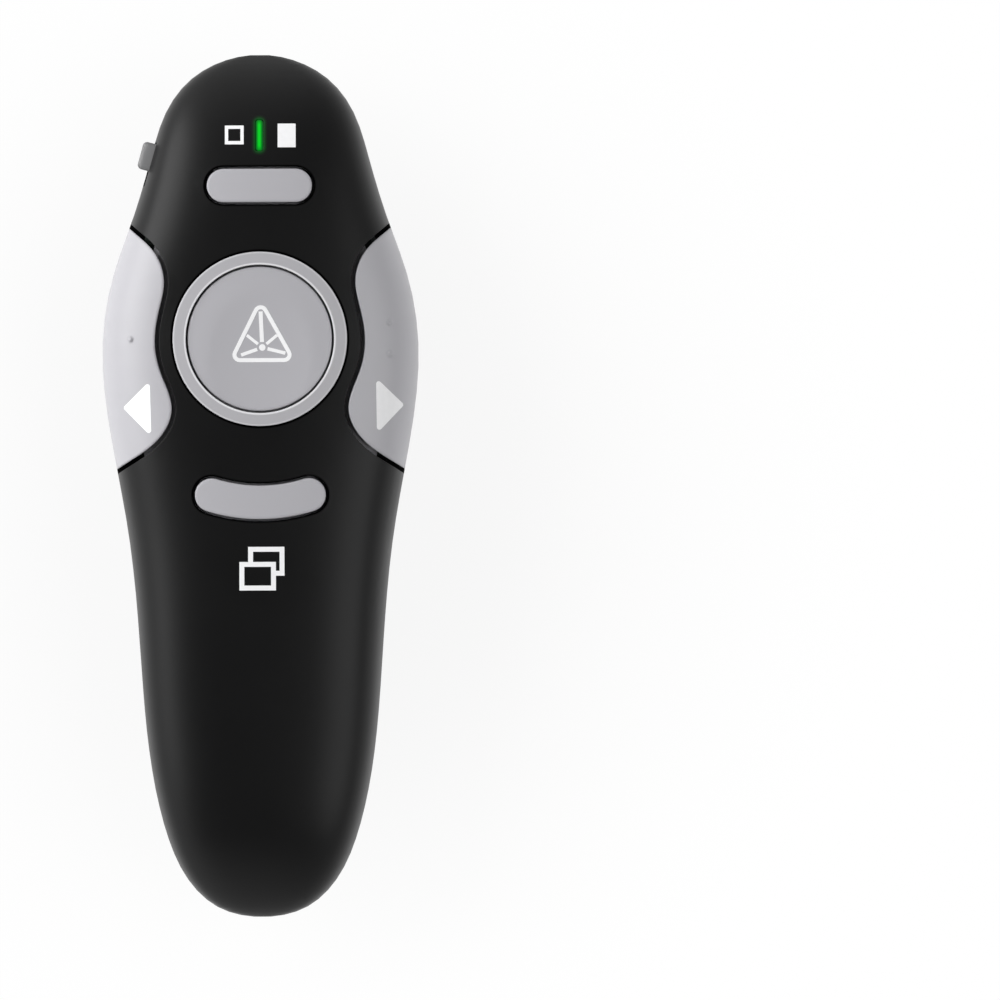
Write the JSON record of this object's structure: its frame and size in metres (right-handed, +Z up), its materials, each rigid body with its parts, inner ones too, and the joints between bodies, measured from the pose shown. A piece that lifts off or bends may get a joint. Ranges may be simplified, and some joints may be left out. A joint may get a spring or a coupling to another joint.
{
  "type": "wireless presentation clicker",
  "caption": "Handheld presentation clicker with a round laser key, four more keys, a power slide, a slide-off battery cover and a stowed USB receiver.",
  "frame": {"origin": "on the rest plane, under the middle of the body's length and width", "axes": "+Y towards the laser nose, +Z up through the keys, +X to the user's right"},
  "size_m": [0.044, 0.1199, 0.0267],
  "materials": {
    "black_soft_plastic": "soft-touch black paint",
    "black_gloss_plastic": "moulded gloss black",
    "silver_plastic": "silver-grey satin paint",
    "bright_ring": "bright silver satin",
    "steel": "bright",
    "dark_steel": "zinc plated",
    "brass": "turned",
    "gold": "gold plated",
    "copper": "enamelled copper winding",
    "green_board": "green solder mask",
    "green_lens": "clear green light pipe",
    "led_white": "moulded",
    "clear_glass": "polished",
    "dark_window": "smoked red"
  },
  "bodies": {
    "housing": {"top_housing": "black_soft_plastic", "lower_housing": "black_soft_plastic", "housing_screw": "dark_steel", "button_ring": "bright_ring", "slide_switch_body": "steel", "led_lens": "green_lens", "led_chip": "led_white", "main_board": "green_board", "tact_switches": "steel", "radio_chip": "black_gloss_plastic", "crystal": "steel", "inductor": "copper", "board_screws": "steel", "laser_barrel": "brass", "laser_lens": "clear_glass", "laser_window": "dark_window", "laser_board": "green_board", "minus_contact": "steel", "plus_contact": "steel", "battery_spring": "steel"},
    "battery_cover": {"battery_cover": "black_soft_plastic"},
    "receiver": {"receiver_cap": "black_gloss_plastic", "receiver_shell": "steel", "receiver_insulator": "green_board", "receiver_contacts": "gold"},
    "laser_button": {"laser_button": "silver_plastic", "laser_plunger": "black_gloss_plastic"},
    "top_key": {"top_key": "silver_plastic", "top_plunger": "black_gloss_plastic"},
    "lower_key": {"lower_key": "silver_plastic", "lower_plunger": "black_gloss_plastic"},
    "left_key": {"left_key": "silver_plastic", "left_plunger": "black_gloss_plastic"},
    "right_key": {"right_key": "silver_plastic", "right_plunger": "black_gloss_plastic"},
    "power_switch": {"switch_knob": "silver_plastic", "switch_slider": "steel"}
  },
  "joints": [
    {"name": "cover_slide", "type": "slide", "parent": "housing", "child": "battery_cover", "axis": [0, -1, 0], "range_m": [0, 0.075]},
    {"name": "receiver_pull", "type": "slide", "parent": "housing", "child": "receiver", "axis": [0, -1, 0], "range_m": [0, 0.013]},
    {"name": "laser_button_press", "type": "slide", "parent": "housing", "child": "laser_button", "axis": [0, 0, -1], "range_m": [0, 0.0005], "stiffness_N_per_m": 600},
    {"name": "top_key_press", "type": "slide", "parent": "housing", "child": "top_key", "axis": [0, 0, -1], "range_m": [0, 0.0005], "stiffness_N_per_m": 600},
    {"name": "lower_key_press", "type": "slide", "parent": "housing", "child": "lower_key", "axis": [0, 0, -1], "range_m": [0, 0.0005], "stiffness_N_per_m": 600},
    {"name": "left_key_press", "type": "hinge", "parent": "housing", "child": "left_key", "pos_m": [-0.0176, 0.0204, 0.0159], "axis": [0, 1, 0], "range_deg": [0, 2.5], "stiffness_Nm_per_rad": 0.03},
    {"name": "right_key_press", "type": "hinge", "parent": "housing", "child": "right_key", "pos_m": [0.0176, 0.0204, 0.0159], "axis": [0, -1, 0], "range_deg": [0, 2.5], "stiffness_Nm_per_rad": 0.03},
    {"name": "power_switch_slide", "type": "slide", "parent": "housing", "child": "power_switch", "axis": [-0.287, -0.9579, 0], "range_m": [0, 0.002]}
  ]
}
